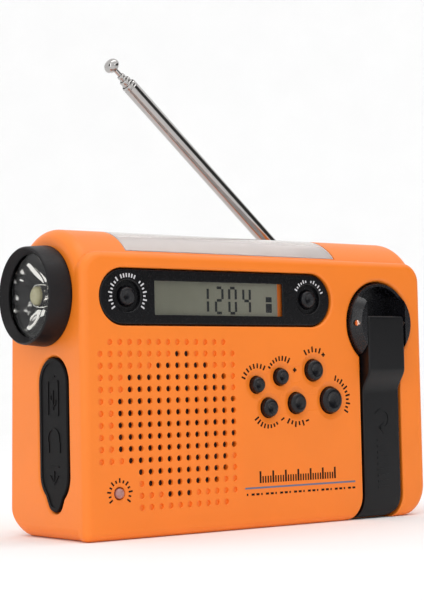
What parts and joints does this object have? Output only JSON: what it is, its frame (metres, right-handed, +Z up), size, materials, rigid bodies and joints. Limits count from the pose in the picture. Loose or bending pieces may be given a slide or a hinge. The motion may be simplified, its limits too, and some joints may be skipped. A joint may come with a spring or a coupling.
{
  "type": "emergency radio",
  "caption": "Hand-crank emergency radio with barrel top, torch end, top lamp and solar panel, display, speaker grille, folding crank and telescopic antenna.",
  "frame": {"origin": "centre of the flat base, on the surface the radio stands on", "axes": "+Z up, front face towards -Y, torch towards -X, crank towards +X"},
  "size_m": [0.1571, 0.0533, 0.1663],
  "materials": {
    "orange_plastic": "satin moulded shell",
    "black_plastic": "fine-textured black moulding",
    "black_rubber": "matt black rubber",
    "clear_plastic": "polished clear moulding",
    "white_plastic": "white reflecting tray",
    "liquid_crystal": "grey-green reflective display",
    "circuit_board": "green solder mask",
    "chrome": "bright plating",
    "steel": "zinc-plated steel",
    "copper": "copper-plated pin",
    "solar_cell": "dark blue solar cells",
    "lamp_yellow": "yellow phosphor dome",
    "clear_pink": "pink translucent lens",
    "dark_fabric": "black speaker cloth",
    "paper_cone": "pressed paper",
    "nylon": "natural nylon",
    "ferrite": "dark ferrite",
    "cell_wrap": "blue shrink wrap"
  },
  "bodies": {
    "body": {"front_shell": "orange_plastic", "rear_cover": "orange_plastic", "battery_tray": "black_plastic", "battery_cell": "cell_wrap", "case_screw_1": "steel", "case_screw_2": "steel", "case_screw_3": "steel", "case_screw_4": "steel", "display_bezel": "black_plastic", "display_pane": "clear_plastic", "display_module": "liquid_crystal", "display_board": "circuit_board", "main_board": "circuit_board", "charge_light": "clear_pink", "lamp_cover": "clear_plastic", "lamp_tray": "white_plastic", "lamp_board": "white_plastic", "solar_panel": "solar_cell", "torch_bezel": "black_plastic", "torch_lens": "clear_plastic", "torch_reflector": "chrome", "torch_led": "lamp_yellow", "usb_output_socket": "steel", "headphone_socket": "black_plastic", "usb_input_socket": "steel", "port_board": "circuit_board", "speaker_cloth": "dark_fabric", "speaker_frame": "steel", "speaker_cone": "paper_cone", "speaker_magnet": "steel", "generator_case": "steel", "gearbox_plate": "steel", "ferrite_rod": "ferrite"},
    "battery_door": {"battery_door": "orange_plastic"},
    "port_cover": {"port_cover": "black_rubber"},
    "crank_hub": {"crank_hub": "black_plastic", "crank_pin": "copper"},
    "crank_arm": {"crank_arm": "black_plastic"},
    "crank_knob": {"crank_knob": "black_plastic"},
    "drive_gear": {"drive_gear": "nylon"},
    "idler_gear": {"idler_gear": "nylon"},
    "generator_pinion": {"generator_pinion": "nylon"},
    "antenna_base": {"antenna_base": "chrome", "antenna_pin": "steel"},
    "antenna_section_1": {"antenna_section_1": "chrome"},
    "antenna_section_2": {"antenna_section_2": "chrome"},
    "antenna_section_3": {"antenna_section_3": "chrome"},
    "antenna_section_4": {"antenna_section_4": "chrome", "antenna_tip": "chrome"},
    "torch_button": {"torch_button": "black_rubber"},
    "power_button": {"power_button": "black_rubber"},
    "lock_button": {"lock_button": "black_rubber"},
    "volume_up_button": {"volume_up_button": "black_rubber"},
    "volume_down_button": {"volume_down_button": "black_rubber"},
    "tuning_up_button": {"tuning_up_button": "black_rubber"},
    "tuning_down_button": {"tuning_down_button": "black_rubber"},
    "band_button": {"band_button": "black_rubber"}
  },
  "joints": [
    {"name": "torch_button_press", "type": "slide", "parent": "body", "child": "torch_button", "axis": [0, 1, 0], "range_m": [0, 0.0008], "stiffness_N_per_m": 2000},
    {"name": "power_button_press", "type": "slide", "parent": "body", "child": "power_button", "axis": [0, 1, 0], "range_m": [0, 0.0008], "stiffness_N_per_m": 2000},
    {"name": "lock_button_press", "type": "slide", "parent": "body", "child": "lock_button", "axis": [0, 1, 0], "range_m": [0, 0.0008], "stiffness_N_per_m": 2000},
    {"name": "volume_up_button_press", "type": "slide", "parent": "body", "child": "volume_up_button", "axis": [0, 1, 0], "range_m": [0, 0.0008], "stiffness_N_per_m": 2000},
    {"name": "volume_down_button_press", "type": "slide", "parent": "body", "child": "volume_down_button", "axis": [0, 1, 0], "range_m": [0, 0.0008], "stiffness_N_per_m": 2000},
    {"name": "tuning_up_button_press", "type": "slide", "parent": "body", "child": "tuning_up_button", "axis": [0, 1, 0], "range_m": [0, 0.0008], "stiffness_N_per_m": 2000},
    {"name": "tuning_down_button_press", "type": "slide", "parent": "body", "child": "tuning_down_button", "axis": [0, 1, 0], "range_m": [0, 0.0008], "stiffness_N_per_m": 2000},
    {"name": "band_button_press", "type": "slide", "parent": "body", "child": "band_button", "axis": [0, 1, 0], "range_m": [0, 0.0008], "stiffness_N_per_m": 2000},
    {"name": "battery_door_pull", "type": "slide", "parent": "body", "child": "battery_door", "axis": [0, 1, 0], "range_m": [0, 0.02]},
    {"name": "port_cover_swing", "type": "hinge", "parent": "body", "child": "port_cover", "pos_m": [-0.07455, -0.0036, 0.0587], "axis": [0, 1, 0], "range_deg": [0, 95]},
    {"name": "crank_turn", "type": "hinge", "parent": "body", "child": "crank_hub", "pos_m": [0.053, -0.0218, 0.0699], "axis": [0, -1, 0], "range_deg": [-0.8, 0.8]},
    {"name": "crank_unfold", "type": "hinge", "parent": "crank_hub", "child": "crank_arm", "pos_m": [0.053, -0.02415, 0.0699], "axis": [-1, 0, 0], "range_deg": [0, 180]},
    {"name": "crank_knob_spin", "type": "hinge", "parent": "crank_arm", "child": "crank_knob", "pos_m": [0.053, -0.0178, 0.014], "axis": [0, -1, 0], "continuous": true},
    {"name": "drive_gear_spin", "type": "hinge", "parent": "body", "child": "drive_gear", "pos_m": [0.053, 0.0015, 0.0699], "axis": [0, -1, 0], "continuous": true},
    {"name": "idler_gear_spin", "type": "hinge", "parent": "body", "child": "idler_gear", "pos_m": [0.0454, 0.0035, 0.0514], "axis": [0, -1, 0], "continuous": true},
    {"name": "generator_spin", "type": "hinge", "parent": "body", "child": "generator_pinion", "pos_m": [0.0454, 0.006, 0.0354], "axis": [0, -1, 0], "continuous": true},
    {"name": "antenna_swivel", "type": "hinge", "parent": "body", "child": "antenna_base", "pos_m": [0.0613, 0.0243, 0.0844], "axis": [0, 1, 0], "range_deg": [-40.7, 139.3]},
    {"name": "antenna_tilt", "type": "hinge", "parent": "antenna_base", "child": "antenna_section_1", "pos_m": [0.0613, 0.0243, 0.0844], "axis": [-0.6521, 0, -0.7581], "range_deg": [0, 90]},
    {"name": "antenna_slide_2", "type": "slide", "parent": "antenna_section_1", "child": "antenna_section_2", "axis": [-0.7581, 0, 0.6521], "range_m": [0, 0.085]},
    {"name": "antenna_slide_3", "type": "slide", "parent": "antenna_section_2", "child": "antenna_section_3", "axis": [-0.7581, 0, 0.6521], "range_m": [0, 0.085]},
    {"name": "antenna_slide_4", "type": "slide", "parent": "antenna_section_3", "child": "antenna_section_4", "axis": [-0.7581, 0, 0.6521], "range_m": [0, 0.085]}
  ],
  "couplings": [
    {"joint": "idler_gear_spin", "follows": "drive_gear_spin", "ratio": -3},
    {"joint": "generator_spin", "follows": "drive_gear_spin", "ratio": 9}
  ]
}
